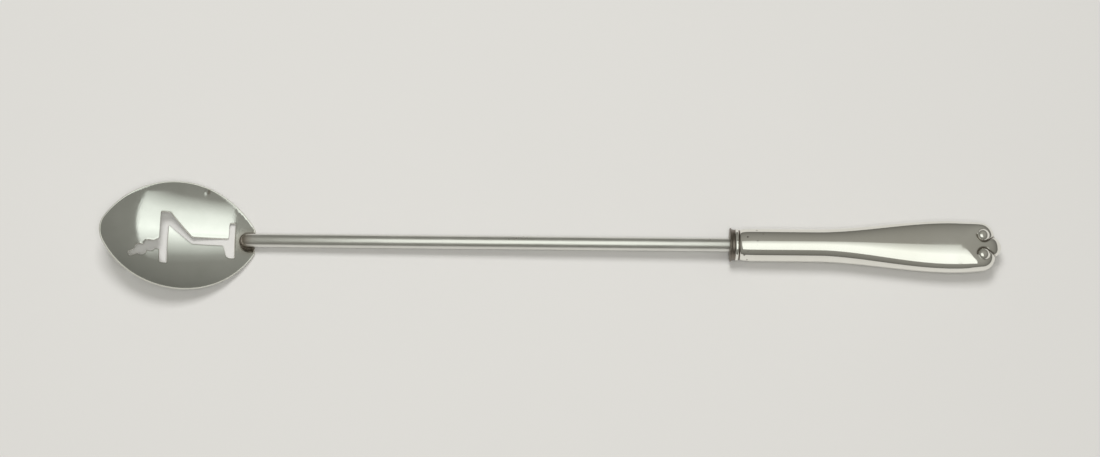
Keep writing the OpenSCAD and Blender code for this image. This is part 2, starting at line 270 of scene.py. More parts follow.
def glassShapes():
    g = glass
    foot = g["neckToFoot"] + g["footSlot"] / 2
    rim = g["neckToFoot"] + g["footToRim"]
    stem = g["neckToFoot"] + g["stemLength"]
    footSide = g["footShift"] - g["footLength"] / 2
    half, stemHalf, rimHalf = g["footSlot"] / 2, g["stemSlot"] / 2, g["rimSlot"] / 2
    top = g["rimLength"] / 2
    sideFoot = top - g["sideSlot"] * g["sideSpread"]
    reach = rimHalf + g["pickLength"]
    turn = math.radians(g["pickAngle"])
    rootEnd = rim + reach * g["olivePlaces"][0] * math.cos(turn)
    rootLow, rootHigh = (g["pickRootPlace"] + side * g["pickRootWidth"] / 2 for side in (-1, 1))
    shapes = [
        [(foot - half, footSide), (foot + half, footSide), (foot + half, footSide + g["footLength"]),
         (foot - half, footSide + g["footLength"])],
        [(foot, footSide + g["webInset"]), (foot + g["webReach"], footSide + g["webInset"]),
         (foot + g["stemRoot"], -stemHalf), (foot, -stemHalf)],
        [(stem, -stemHalf), (foot + half, -stemHalf), (foot + half, stemHalf), (stem, stemHalf)],
        [(stem, stemHalf), (rim - rimHalf - g["sideLap"], top), (rim, top), (rim, sideFoot),
         (rim - rimHalf, sideFoot), (stem, -stemHalf)],
        [(rim + rimHalf + g["rimFlare"], top), (rim - rimHalf - g["rimFlare"], top),
         (rim - rimHalf + g["rimFlare"], -top), (rim + rimHalf, -top)],
        [(rim, rootLow), (rootEnd, rootLow), (rootEnd, rootHigh), (rim, rootHigh)],
    ]
    ahead, aside = np.array([math.cos(turn), -math.sin(turn)]), np.array([math.sin(turn), math.cos(turn)])
    root = np.array([rim, g["pickPlace"]])
    w = g["pickWidth"] / 2
    shapes.append([root - aside * w, root + ahead * reach - aside * w,
                   root + ahead * reach + aside * w, root + aside * w])
    for place in g["olivePlaces"]:
        shapes.append([root + ahead * place * reach + g["olive"] / 2 * np.array([math.cos(a), math.sin(a)])
                       for a in np.linspace(0, 2 * math.pi, g["oliveSides"], endpoint=False)])
    return [np.array(s, float) for s in shapes]


def joinShapes(shapes):
    # the outline of all the slot shapes together, as one loop, with its corners softened
    points, edges = [], []
    for shape in shapes:
        first = len(points)
        for a, b in zip(shape, np.roll(shape, -1, 0)):
            cuts = max(1, int(np.linalg.norm(b - a) / bowl["slotCut"]))
            points += [a + (b - a) * i / cuts for i in range(cuts)]
        count = len(points) - first
        edges += [(first + i, first + (i + 1) % count) for i in range(count)]
    verts, faces, middles, _ = triangulate(points, edges, 1e-5)
    held = np.zeros(len(faces), bool)
    for shape in shapes:
        held |= insidePolygon(middles, shape)
    sides = dict.fromkeys((face[i], face[(i + 1) % 3]) for face in faces[held].tolist() for i in range(3))
    following = {a: b for a, b in sides if (b, a) not in sides}  # sides with no triangle beyond them
    loop = [next(iter(following))]
    while following[loop[-1]] != loop[0]:
        loop.append(following[loop[-1]])
    loop = resample(verts[loop], bowl["slotStep"])
    for _ in range(bowl["cornerPasses"]):
        loop = (np.roll(loop, 1, 0) + 2 * loop + np.roll(loop, -1, 0)) / 4
    return loop


def outward(loop):
    # unit normals in the plane, pointing to the right of the way round
    run = np.roll(loop, -1, 0) - np.roll(loop, 1, 0)
    run /= np.linalg.norm(run, axis=1)[:, None]
    return np.stack([run[:, 1], -run[:, 0]], 1)


def signedArea(loop):
    x, y = loop[:, 0], loop[:, 1]
    return 0.5 * np.sum(x * np.roll(y, -1) - np.roll(x, -1) * y)


def dishHeight(u, v, below):
    across = bowl["dishLong"] - bowl["dishAcross"] + np.sqrt((bowl["dishAcross"] + below) ** 2 - v ** 2)
    return dishZ - np.sqrt(across ** 2 - (u - bowl["neckToDeepest"]) ** 2)


def fadeFrom(u, v, place, reach):
    return np.exp(-((u - place[0]) / reach[0]) ** 2 - ((v - place[1]) / reach[1]) ** 2)


def dishPoints(u, v, below=0.0, lift=0.0):
    ding = -bowl["dingDepth"] * fadeFrom(u, v, bowl["dingPlace"], bowl["dingReach"])
    return np.stack([-u, v, dishHeight(u, v, below) + ding + lift], 1)


def bowlPlan(leaf, slot):
    # the flat part inside the two loops, meshed in plan, with closer points round the rod's nose and the ding
    step = bowl["meshStep"]
    grid = lattice(np.arange(0, tipX + step, step), -bowl["width"] / 2, bowl["width"] / 2 + step, step)
    (uFrom, uTo), (vFrom, vTo) = bowl["nosePatch"]
    nosePoints = np.array([(u, v) for u in np.arange(uFrom, uTo, bowl["noseStep"])
                           for v in np.arange(vFrom, vTo, bowl["noseStep"])])
    margin = 0.15
    beyond = (grid[:, 0] > uTo + margin) | (grid[:, 1] < vFrom - margin) | (grid[:, 1] > vTo + margin)
    grid = np.vstack([grid[beyond], nosePoints])
    near = np.minimum(distanceTo(grid, closed(leaf)), distanceTo(grid, closed(slot)))
    grid = grid[(near > step * 0.55) & insidePolygon(grid, leaf) & ~insidePolygon(grid, slot)]
    ding = np.array(bowl["dingPlace"])
    grid = grid[np.linalg.norm(grid - ding, axis=1) > bowl["dingPatch"]]
    rings = np.array([ding + r * np.array([math.cos(a), math.sin(a)]) for r in bowl["dingRings"]
                      for a in np.linspace(0, 2 * math.pi, 4 + int(20 * r), endpoint=False)])
    rings = rings[insidePolygon(rings, leaf) & (distanceTo(rings, closed(leaf)) > 0.12)]
    borders = ((0, len(leaf)), (len(leaf), len(slot)))  # each loop's first point and number of points
    edges = [(first + i, first + (i + 1) % count) for first, count in borders for i in range(count)]
    verts, faces, middles, stoodFor = triangulate(np.vstack([leaf, slot, grid, rings]), edges, 1e-6)
    faces = faces[insidePolygon(middles, leaf) & ~insidePolygon(middles, slot)]
    number = {old: new for new, olds in enumerate(stoodFor) for old in olds}
    return verts, faces, [[number[first + i] for i in range(count)] for first, count in borders]


def bowlMasks(points, topCount):
    # the points are the top's, as many again for the underside, then those of the rounded edges
    u, v = -points[:, 0], points[:, 1]
    pastNose = np.maximum(u - bowl["noseMiddle"], 0)
    heat = np.clip(1 - (np.hypot(pastNose, v) - rod["radius"]) / bowl["heatReach"], 0, 1)
    heat *= u < bowl["heatEnd"]
    # a dark ring where the rod's nose sits on the bowl: the braze joint's dark edge with painted contact shade
    jointShadeAndStain = np.hypot(pastNose, v - bowl["jointShadeShift"]) - rod["radius"] - bowl["jointShadeGap"]
    jointShadeAndStain = np.clip(1 - jointShadeAndStain / bowl["jointShadeFade"], 0, 1)
    jointShadeAndStain[topCount:2 * topCount] = 0  # none on the underside
    stain = fadeFrom(u, v, bowl["stainPlace"], bowl["stainReach"])
    jointShadeAndStain[:topCount] = np.maximum(jointShadeAndStain, bowl["stainShare"] * stain)[:topCount]
    # the rounded edges: real rubbing, and a painted highlight in their brighter colour
    edge = (np.arange(len(points)) >= 2 * topCount).astype(float)
    return {"rubbedEdgeAndHighlight": edge, "heatTint": np.maximum(heat, stain), "jointShadeAndStainMask": jointShadeAndStain}


def makeBowl():
    leaf, slot = leafLoop(), joinShapes(glassShapes())
    if signedArea(leaf) < 0:
        leaf = leaf[::-1]
    if signedArea(slot) > 0:
        slot = slot[::-1]
    loops = ((leaf, bowl["rimRound"]), (slot, bowl["slotRound"]))
    verts, tris, firstRows = bowlPlan(*[loop - outward(loop) * rounding for loop, rounding in loops])
    n = len(verts)
    points = [dishPoints(*verts.T), dishPoints(*verts.T, bowl["sheet"])]
    # X runs the other way from U, so the triangles turn round
    faces = [tuple(f[::-1]) for f in tris] + [tuple(f + n) for f in tris]
    total = 2 * n
    turns = [math.radians(t) for t in bowl["edgeTurns"]]
    for (loop, rounding), firstRow in zip(loops, firstRows):
        count, rows = len(loop), [firstRow]
        # down from the top's edge, then round and in to the underside's
        for t, below, way in [(t, 0.0, -1) for t in turns] + [(t, bowl["sheet"], 1) for t in turns[::-1]]:
            u, v = (loop - outward(loop) * rounding * (1 - math.sin(t))).T
            points.append(dishPoints(u, v, below, way * (1 - math.cos(t)) * rounding))
            rows.append(list(range(total, total + count)))
            total += count
        rows.append([r + n for r in firstRow])
        for a, b in zip(rows[:-1], rows[1:]):
            faces += [(a[i], a[(i + 1) % count], b[(i + 1) % count], b[i]) for i in range(count)]
    points = np.vstack(points)
    return makePiece("bowlSheet", inBowl(points), faces, bowlMasks(points, n))


handle = {
    "length": mouth["handleLength"],
    "grip": 11.6,
    "gripLength": 30.0,
    "buttWidth": 18.6,
    "buttThickness": 10.0,
    "tipToWidest": 17.6,
    "taper": 90.0,  # radius of the narrowing past the widest place
    "endPower": 2.05,
    "sectionPower": 2.4,
    "bore": 9.5,
    "ring": 11.3,
    "groove": 10.3,
    "lipRound": 0.17,
    "hollowStart": 0.5,  # distances from the mouth
    "hollowLength": 1.4,
    "ringStart": 1.92,
    "ringLength": 1.08,
    "ringRise": 0.3,
    "grooveEnd": 3.5,
    "shoulder": 9.0,
    "paintedDarkBands": ((0.0, 1.98, 0.95), (3.02, 3.6, 1.0)),  # painted dark reflection and shade on the lip with hollow, and on the groove: from, to and how much
    "lobeRadius": 5.1,
    "lobeBack": 7.4,
    "lobeAside": 3.6,
    "lobeTurn": 86.0,  # degrees, where the lobe's side ends
    "tongueRadius": 3.8,
    "bead": 4.2,
    "beadBack": 6.5,
    "beadAside": 3.5,
    "beadHeight": 1.12,
    "beadPower": 2.8,
    "footWidth": 0.14,  # painted shade line round the bead's foot
    "footShadeShare": 0.3,
    "scrollGroove": 0.62,
    "scrollDepth": 0.34,
    "scrollTurn": 296.0,
    "halfSides": 72,
    "rowStep": 0.5,
    "endStart": 80.0,  # where the mesh of the scrolled end begins
    "rimStep": 0.22,
    "fineStart": 86.0,  # where it gets its fine step
    "endStep": 0.15,
    "edgeReach": 3.6,  # how far in the end's edge is round
    "bodyFade": 5.0,  # over what length the body's section turns into the end's
    "reachFade": 9.0,
    "tarnishPlace": 6.5,  # middle of the spots behind the mouth
    "tarnishReach": 5.0,
}


def ease(t):
    t = np.clip(t, 0, 1)
    return t * t * (3 - 2 * t)


widest = handle["length"] - handle["tipToWidest"]
lobeS = handle["length"] - handle["lobeBack"]
lobeEnd = lobeS + handle["lobeRadius"] * math.sin(math.radians(handle["lobeTurn"]))
tongueS = handle["length"] - handle["tongueRadius"]
beadPlace = np.array([handle["length"] - handle["beadBack"], handle["beadAside"]])


def swell(s):
    return ease((s - handle["gripLength"]) / (widest - handle["gripLength"]))


def bodyWidth(s):
    return handle["grip"] / 2 + (handle["buttWidth"] - handle["grip"]) / 2 * swell(s) \
        - np.maximum(0, s - widest) ** 2 / (2 * handle["taper"])


def halfThickness(s):
    return (handle["grip"] + (handle["buttThickness"] - handle["grip"]) * swell(s)) / 2 * endRound(s)


def endRound(s):
    t = np.clip((s - widest) / handle["tipToWidest"], 0, 1)
    return (1 - t ** handle["endPower"]) ** (1 / handle["endPower"])


def power(s):
    return 2 + (handle["sectionPower"] - 2) * swell(s)


def collarProfile():
    # distance from the mouth and radius along the bore, lip, hollow, ring, groove and shoulder
    h = handle
    lip, ring, groove = mouth["lip"] / 2, h["ring"] / 2, h["groove"] / 2
    grip, bore = h["grip"] / 2, h["bore"] / 2
    edge, rise, hollowTop = h["lipRound"], h["ringRise"], lip - 0.08
    p = [(1.6, bore), (0.12, bore), (0.03, bore + 0.05), (0, bore + 0.16), (0, lip - 0.3)]
    p += [(edge - edge * math.cos(a), lip - edge + edge * math.sin(a)) for a in np.radians([10, 35, 60, 90])]
    p += [(0.38, lip), (0.48, lip - 0.05)]
    p += [(h["hollowStart"] + h["hollowLength"] * (1 - math.cos(a)),
           hollowTop - (hollowTop - ring + rise) * math.sin(a)) for a in np.radians(np.arange(12, 91, 13))]
    p += [(h["ringStart"] + h["ringLength"] * (1 - math.cos(a)) / 2, ring - rise + rise * math.sin(a) ** 0.8)
          for a in np.radians(np.arange(12, 169, 12))]
    p += [(3.02, ring - 0.36), (3.06, groove + 0.1), (3.14, groove + 0.02), (3.3, groove),
          (h["grooveEnd"], groove + 0.01)]
    slope = h["shoulder"] - h["grooveEnd"]
    p += [(h["grooveEnd"] + slope * t * t, groove + (grip - groove) * math.sin(math.radians(90 * t)))
          for t in np.linspace(0.08, 1, 16)]
    return p


def endOutline():
    # half of the end's outline, from the widest stretch round the lobe to the notch and the tongue's tip
    bodyPoints, lobePoints, tonguePoints = 90, 150, 90
    s = np.linspace(handle["endStart"], lobeS, bodyPoints)
    body = np.stack([s, bodyWidth(s)], 1)
    turn = np.radians(np.linspace(90, -20, lobePoints))
    lobe = np.stack([lobeS + handle["lobeRadius"] * np.cos(turn),
                     handle["lobeAside"] + handle["lobeRadius"] * np.sin(turn)], 1)
    inBody = lobe[:, 1] <= np.minimum(bodyWidth(lobe[:, 0]), bodyWidth(lobeS))
    offTongue = np.hypot(lobe[:, 0] - tongueS, lobe[:, 1]) > handle["tongueRadius"]
    lobe = lobe[inBody & offTongue]
    turn = np.linspace(math.atan2(lobe[-1, 1], lobe[-1, 0] - tongueS), 0, tonguePoints)[1:]
    tongue = np.stack([tongueS + handle["tongueRadius"] * np.cos(turn),
                       handle["tongueRadius"] * np.sin(turn)], 1)
    return np.vstack([body[body[:, 0] < lobe[0, 0] - 0.05], lobe, tongue])


def scrollPath():
    # the groove's middle line, from the bead's back round to the notch
    arcPoints, outPoints = 40, 12
    radius = (handle["bead"] + handle["scrollGroove"]) / 2
    turn = np.radians(np.linspace(180, handle["scrollTurn"], arcPoints))
    arc = beadPlace + radius * np.stack([np.cos(turn), np.sin(turn)], 1)
    notch = np.array([lobeEnd - 0.1, math.sqrt(handle["tongueRadius"] ** 2 - (lobeEnd - tongueS) ** 2)])
    out = arc[-1] + (notch - arc[-1]) * np.linspace(0, 1, outPoints)[1:, None]
    return np.vstack([arc, out])


def endPlan(bodyRow):
    # the scrolled end in plan: rows that follow its outline, a lattice within them and the body's last row
    h = handle
    start, step = h["endStart"], h["endStep"]
    half = endOutline()
    loop = np.vstack([half, half[::-1][1:] * [1, -1]])
    lengths = lengthsAlong(loop)
    rim = pointsAt(loop, lengths, np.linspace(0, lengths[-1], int(lengths[-1] / h["rimStep"])))
    run = np.gradient(rim, axis=0)
    run /= np.linalg.norm(run, axis=1)[:, None]
    inwards = np.stack([run[:, 1], -run[:, 0]], 1)
    parts = [rim, bodyRow]
    for turn in np.radians(np.arange(5, 50, 5)):
        depth = h["edgeReach"] * (1 - math.cos(turn) ** (2 / h["sectionPower"]))
        row = rim + inwards * depth
        parts.append(row[(distanceTo(row, loop) > depth * 0.97) & (row[:, 0] > start + 0.12)])
    wide = bodyWidth(start)
    grid = np.vstack([lattice(np.arange(first, last, gap), -wide, wide, gap) for first, last, gap in
                      ((start + 0.2, h["fineStart"], 2 * step), (h["fineStart"] + step, h["length"], step))])
    grid = grid[insidePolygon(grid, loop)]
    parts.append(grid[distanceTo(grid, loop) > depth + step * 0.4])
    plan = np.vstack(parts)
    border = len(rim) + len(bodyRow)
    verts, tris, middles, _ = triangulate(plan, [(i, (i + 1) % border) for i in range(border)], 1e-6)
    tris = tris[insidePolygon(middles, plan[:border])]
    a, b, c = (verts[tris[:, i]] for i in range(3))
    area = (b[:, 0] - a[:, 0]) * (c[:, 1] - a[:, 1]) - (c[:, 0] - a[:, 0]) * (b[:, 1] - a[:, 1])
    return verts, np.where((area > 0)[:, None], tris, tris[:, ::-1]), loop


def endHeights(s, y, loop):
    # height over the seam, and painted shade in the grooves and round the beads' feet: the body's section turns
    # into a round edge, then beads and grooves
    h = handle
    gap = distanceTo(np.stack([s, y], 1), loop)
    w, past = bodyWidth(s), s - h["endStart"]
    lateral = np.clip((w - np.abs(y)) / w, 0, 1)
    edgeWise = np.clip(gap / (w + (h["edgeReach"] - w) * ease(past / h["reachFade"])), 0, 1)
    blend = ease(past / h["bodyFade"])
    x, p = lateral * (1 - blend) + edgeWise * blend, power(s)
    z = halfThickness(s) * (1 - (1 - x) ** p) ** (1 / p)
    z[gap < 1e-4] = 0
    away = np.hypot(s - beadPlace[0], np.abs(y) - beadPlace[1])
    dome = h["beadHeight"] * (1 - (away / (h["bead"] / 2)) ** h["beadPower"])
    toPath = distanceTo(np.stack([s, np.abs(y)], 1), scrollPath())
    groove = np.where(dome > 0.12, 0, np.exp(-(toPath / (h["scrollGroove"] * 0.48)) ** 2))
    foot = np.exp(-((away - h["bead"] / 2) / h["footWidth"]) ** 2)
    z = z + np.maximum(dome, 0) - groove * h["scrollDepth"] * np.clip(z, 0, 1)
    # painted shade: the scroll groove and a line round the bead's foot
    return z, np.clip(groove + h["footShadeShare"] * foot, 0, 1)


def makeHandle():
    sides = handle["halfSides"]
    angles = np.linspace(0, math.pi, sides + 1)
    cosA, sinA = np.cos(angles), np.sin(angles)
    collar = collarProfile()
    rows = [np.stack([np.full(sides + 1, s), r * cosA, r * sinA], 1) for s, r in collar]
    step = handle["rowStep"]
    for s in np.arange(handle["shoulder"] + step, handle["endStart"] + 0.01, step):
        p = 2 / power(s)
        rows.append(np.stack([np.full(sides + 1, s), bodyWidth(s) * np.sign(cosA) * np.abs(cosA) ** p,
                              halfThickness(s) * sinA ** p], 1))
    perRow, first = sides + 1, len(rows) * (sides + 1)
    faces = [(a, a + 1, a + perRow + 1, a + perRow)
             for start in range(0, first - perRow, perRow) for a in range(start, start + sides)]
    lastRow = rows[-1][:, 1]
    verts, tris, loop = endPlan(rows[-1][1:-1, :2][::-1])  # that row runs from -Y to +Y
    z, paintedShade = endHeights(*verts.T, loop)
    points = np.vstack(rows + [np.column_stack([verts, z])])
    # the end's first row is the body's last row, point for point
    number = np.arange(len(points))
    for k in np.nonzero(verts[:, 0] < handle["endStart"] + 1e-4)[0]:
        number[first + k] = first - perRow + int(np.argmin(np.abs(lastRow - verts[k, 1])))
    faces += [tuple(number[first + t]) for t in tris]
    faces = [f for f in faces if len(set(f)) == len(f)]
    # the second half below, sharing the seam
    n = len(points)
    mate = np.arange(n) + np.where(np.abs(points[:, 2]) < 1e-6, 0, n)
    faces += [tuple(mate[list(f)][::-1]) for f in faces]
    every = np.vstack([points, points * [1, 1, -1]])
    # painted dark reflection and shade on the collar's lip, hollow and groove, then painted shade in the end's
    # grooves and round the beads' feet
    dark = [max([share for low, high, share in handle["paintedDarkBands"] if low <= s <= high], default=0)
            for s, _ in collar]
    dark = np.concatenate([np.repeat(dark, perRow), np.zeros(first - len(collar) * perRow), paintedShade] * 2)
    fromTarnish = np.abs(every[:, 0] - handle["tarnishPlace"])
    nearMouth = np.clip(1.2 - fromTarnish / handle["tarnishReach"], 0, 1)
    used = np.zeros(2 * n, bool)
    for f in faces:
        used[list(f)] = True
    number = np.cumsum(used) - 1
    return makePiece("handleShell", layDown(every[used]), [tuple(number[list(f)]) for f in faces],
                     {"paintedShade": dark[used], "nearMouth": nearMouth[used]})


def newGroup(name, inputs, outputs):
    tree = bpy.data.node_groups.new(name, "ShaderNodeTree")
    for label, kind, value in inputs:
        tree.interface.new_socket(label, in_out="INPUT", socket_type=kind).default_value = value
    for label in outputs:
        tree.interface.new_socket(label, in_out="OUTPUT", socket_type="NodeSocketFloat")
    return tree, tree.nodes.new("NodeGroupInput"), tree.nodes.new("NodeGroupOutput")


def addNode(tree, kind, **values):
    node = tree.nodes.new(kind)
    for key, value in values.items():
        setattr(node, key, value)
    return node


def mathNode(tree, operation, a, b, clamp=False):
    node = addNode(tree, "ShaderNodeMath", operation=operation, use_clamp=clamp)
    for socket, value in zip(node.inputs, (a, b)):
        if hasattr(value, "is_output"):
            tree.links.new(value, socket)
        else:
            socket.default_value = value
    return node.outputs[0]


def fineMarksGroup():
    # thin rubbing marks in one direction: a stretched noise, as a height and a mask
    sharpness = 8.0
    tree, into, out = newGroup("fineMarks", [
        ("Stretch", "NodeSocketVector", (40.0, 3000.0, 3000.0)),
        ("Turn", "NodeSocketVector", (0.0, 0.0, 0.0)),
        ("Threshold", "NodeSocketFloat", 0.55)], ["Height", "Mask"])
    coords = addNode(tree, "ShaderNodeTexCoord")
    mapping = addNode(tree, "ShaderNodeMapping")
    tree.links.new(coords.outputs["Object"], mapping.inputs["Vector"])
    tree.links.new(into.outputs["Turn"], mapping.inputs["Rotation"])
    scaled = addNode(tree, "ShaderNodeVectorMath", operation="MULTIPLY")
    tree.links.new(mapping.outputs["Vector"], scaled.inputs[0])
    tree.links.new(into.outputs["Stretch"], scaled.inputs[1])
    noise = addNode(tree, "ShaderNodeTexNoise")
    noise.inputs["Scale"].default_value = 1.0
    noise.inputs["Detail"].default_value = 3.0
    tree.links.new(scaled.outputs[0], noise.inputs["Vector"])
    over = mathNode(tree, "SUBTRACT", noise.outputs["Fac"], into.outputs["Threshold"])
    tree.links.new(noise.outputs["Fac"], out.inputs["Height"])
    tree.links.new(mathNode(tree, "MULTIPLY", over, sharpness, clamp=True), out.inputs["Mask"])
    return tree


def cloudsGroup():
    # soft smudges and cloudy patches from handling, as a mask
    tree, into, out = newGroup("handlingClouds", [
        ("Scale", "NodeSocketFloat", 90.0), ("Contrast", "NodeSocketFloat", 2.5)], ["Mask"])
    coords = addNode(tree, "ShaderNodeTexCoord")
    noise = addNode(tree, "ShaderNodeTexNoise")
    noise.inputs["Detail"].default_value = 5.0
    noise.inputs["Roughness"].default_value = 0.6
    tree.links.new(coords.outputs["Object"], noise.inputs["Vector"])
    tree.links.new(into.outputs["Scale"], noise.inputs["Scale"])
    centred = mathNode(tree, "SUBTRACT", noise.outputs["Fac"], 0.5)
    spread = mathNode(tree, "MULTIPLY", centred, into.outputs["Contrast"])
    tree.links.new(mathNode(tree, "ADD", spread, 0.5, clamp=True), out.inputs["Mask"])
    return tree


def spotsGroup():
    # scattered small spots, as a mask that is 1 in a spot's middle
    sharpness = 10.0
    tree, into, out = newGroup("tarnishSpots", [
        ("Scale", "NodeSocketFloat", 600.0), ("Size", "NodeSocketFloat", 0.25),
        ("Share", "NodeSocketFloat", 0.2)], ["Mask"])
    coords = addNode(tree, "ShaderNodeTexCoord")
    cells = addNode(tree, "ShaderNodeTexVoronoi")
    tree.links.new(coords.outputs["Object"], cells.inputs["Vector"])
    tree.links.new(into.outputs["Scale"], cells.inputs["Scale"])
    inside = mathNode(tree, "SUBTRACT", into.outputs["Size"], cells.outputs["Distance"])
    spot = mathNode(tree, "MULTIPLY", inside, sharpness, clamp=True)
    pick = addNode(tree, "ShaderNodeSeparateColor")
    tree.links.new(cells.outputs["Color"], pick.inputs["Color"])
    kept = mathNode(tree, "LESS_THAN", pick.outputs["Red"], into.outputs["Share"])
    tree.links.new(mathNode(tree, "MULTIPLY", spot, kept), out.inputs["Mask"])
    return tree


fineMarks = fineMarksGroup()
handlingClouds = cloudsGroup()
tarnishSpots = spotsGroup()


def placeGroup(tree, group, settings):
    node = addNode(tree, "ShaderNodeGroup", node_tree=group)
    for key, value in settings.items():
        node.inputs[key].default_value = value
    return node


def ramp(tree, factor, low, high):
    node = addNode(tree, "ShaderNodeMapRange")
    node.inputs["To Min"].default_value = low
    node.inputs["To Max"].default_value = high
    tree.links.new(factor, node.inputs["Value"])
    return node.outputs["Result"]


def mixColour(tree, factor, a, b):
    node = addNode(tree, "ShaderNodeMix", data_type="RGBA")
    tree.links.new(factor, node.inputs["Factor"])
    for socket, value in ((node.inputs[6], a), (node.inputs[7], b)):
        if hasattr(value, "is_output"):
            tree.links.new(value, socket)
        else:
            socket.default_value = (*value, 1)
    return node.outputs[2]


def newMaterial(name, colour, roughness, metal=True):
    material = bpy.data.materials.new(name)
    material.use_nodes = True
    shader = material.node_tree.nodes["Principled BSDF"]
    shader.inputs["Metallic"].default_value = 1.0 if metal else 0.0
    shader.inputs["Base Color"].default_value = (*colour, 1)
    shader.inputs["Roughness"].default_value = roughness
    material.diffuse_color = (*colour, 1)
    return material, material.node_tree, shader


def bump(tree, shader, height, strength, distance):
    node = addNode(tree, "ShaderNodeBump")
    node.inputs["Strength"].default_value = strength
    node.inputs["Distance"].default_value = distance
    tree.links.new(height, node.inputs["Height"])
    tree.links.new(node.outputs["Normal"], shader.inputs["Normal"])


def attributeMask(tree, name):
    return addNode(tree, "ShaderNodeAttribute", attribute_name=name).outputs["Fac"]


bowlFinish = {
    "bright": (0.80, 0.82, 0.785),
    "cloudy": (0.73, 0.755, 0.715),
    "heat": (0.46, 0.39, 0.30),  # brown tint round the braze
    "heatShare": 0.5,
    "jointShadeAndStain": (0.10, 0.07, 0.05),  # dark ring close to the rod's nose, the braze joint's dark edge with painted contact shade; the ding's stain uses it too
    # painted highlight: a brighter colour on the rounded edges, which are also rougher from real rubbing
    "edge": (0.93, 0.92, 0.86),
    "edgeRoughness": 0.3,
    "heatRoughness": 0.2,
    "roughness": (0.05, 0.09),
    "marks": {"Stretch": (160, 2600, 2600), "Turn": (0, 0, 0.5), "Threshold": 0.56},
    "crossMarks": {"Stretch": (2200, 140, 2200), "Turn": (0, 0, 0.25), "Threshold": 0.58},
    "smudges": {"Scale": 120.0, "Contrast": 2.2},
    "lineRoughness": 0.05,
    "lineStrength": 0.12,
    "lineDepth": 0.00003,  # metres
}


def bowlSteel():
    f = bowlFinish
    material, tree, shader = newMaterial("bowlSteel", f["bright"], f["roughness"][0])
    marks = placeGroup(tree, fineMarks, f["marks"])
    cross = placeGroup(tree, fineMarks, f["crossMarks"])
    smudge = placeGroup(tree, handlingClouds, f["smudges"])
    lines = mathNode(tree, "MAXIMUM", marks.outputs["Mask"], cross.outputs["Mask"])
    rough = mathNode(tree, "ADD", ramp(tree, smudge.outputs["Mask"], *f["roughness"]),
                     mathNode(tree, "MULTIPLY", lines, f["lineRoughness"]))
    heat, jointShadeAndStain, edge = (attributeMask(tree, name) for name in ("heatTint", "jointShadeAndStainMask", "rubbedEdgeAndHighlight"))
    rough = mathNode(tree, "ADD", rough, mathNode(tree, "MULTIPLY", heat, f["heatRoughness"]))
    rough = mathNode(tree, "ADD", rough, mathNode(tree, "MULTIPLY", edge, f["edgeRoughness"]))
    tree.links.new(rough, shader.inputs["Roughness"])
    clean = mixColour(tree, smudge.outputs["Mask"], f["cloudy"], f["bright"])
    # painted highlight along the rounded edges
    rubbedAndHighlighted = mixColour(tree, edge, clean, f["edge"])
    tinted = mixColour(tree, mathNode(tree, "MULTIPLY", heat, f["heatShare"]), rubbedAndHighlighted, f["heat"])
    # the dark ring at the rod's nose, partly painted contact shade, and the ding's stain
    tree.links.new(mixColour(tree, jointShadeAndStain, tinted, f["jointShadeAndStain"]), shader.inputs["Base Color"])
    heights = mathNode(tree, "ADD", marks.outputs["Height"], cross.outputs["Height"])
    bump(tree, shader, heights, f["lineStrength"], f["lineDepth"])
    return material


rodFinish = {
    "bright": (0.80, 0.80, 0.765),
    "cloudy": (0.70, 0.70, 0.66),
    "heat": (0.50, 0.44, 0.38),
    "roughness": (0.26, 0.33),
    "marks": {"Stretch": (60, 4200, 4200), "Threshold": 0.54},
    "smudges": {"Scale": 70.0, "Contrast": 2.0},
    "lineRoughness": 0.08,
    "lineStrength": 0.25,
    "lineDepth": 0.00004,
}


def rodSteel():
    f = rodFinish
    material, tree, shader = newMaterial("rodSteel", f["bright"], f["roughness"][0])
    along = placeGroup(tree, fineMarks, f["marks"])
    smudge = placeGroup(tree, handlingClouds, f["smudges"])
    rough = mathNode(tree, "ADD", ramp(tree, smudge.outputs["Mask"], *f["roughness"]),
                     mathNode(tree, "MULTIPLY", along.outputs["Mask"], f["lineRoughness"]))
    tree.links.new(rough, shader.inputs["Roughness"])
    clean = mixColour(tree, smudge.outputs["Mask"], f["cloudy"], f["bright"])
    tinted = mixColour(tree, attributeMask(tree, "heatTint"), clean, f["heat"])
    tree.links.new(tinted, shader.inputs["Base Color"])
    bump(tree, shader, along.outputs["Height"], f["lineStrength"], f["lineDepth"])
    return material


silverFinish = {
    "bright": (0.92, 0.915, 0.87),
    "cloudy": (0.86, 0.85, 0.79),
    # one dark colour for the real tarnish spots and for the painted shade and dark reflection on the collar and
    # in the grooves
    "tarnishAndShade": (0.13, 0.10, 0.075),
    "tarnishAndShadeShare": 0.92,
    "roughness": (0.055, 0.10),
    "marks": {"Stretch": (90, 2400, 2400), "Turn": (0, 0, 0.08), "Threshold": 0.6},
    "crossMarks": {"Stretch": (2000, 120, 2000), "Turn": (0, 0, 0.6), "Threshold": 0.62},
    "smudges": {"Scale": 60.0, "Contrast": 2.4},
    "spots": {"Scale": 880.0, "Size": 0.36, "Share": 0.22},
    "recessRoughness": 0.28,
    "lineRoughness": 0.05,
    "lineStrength": 0.06,
    "lineDepth": 0.00002,
}


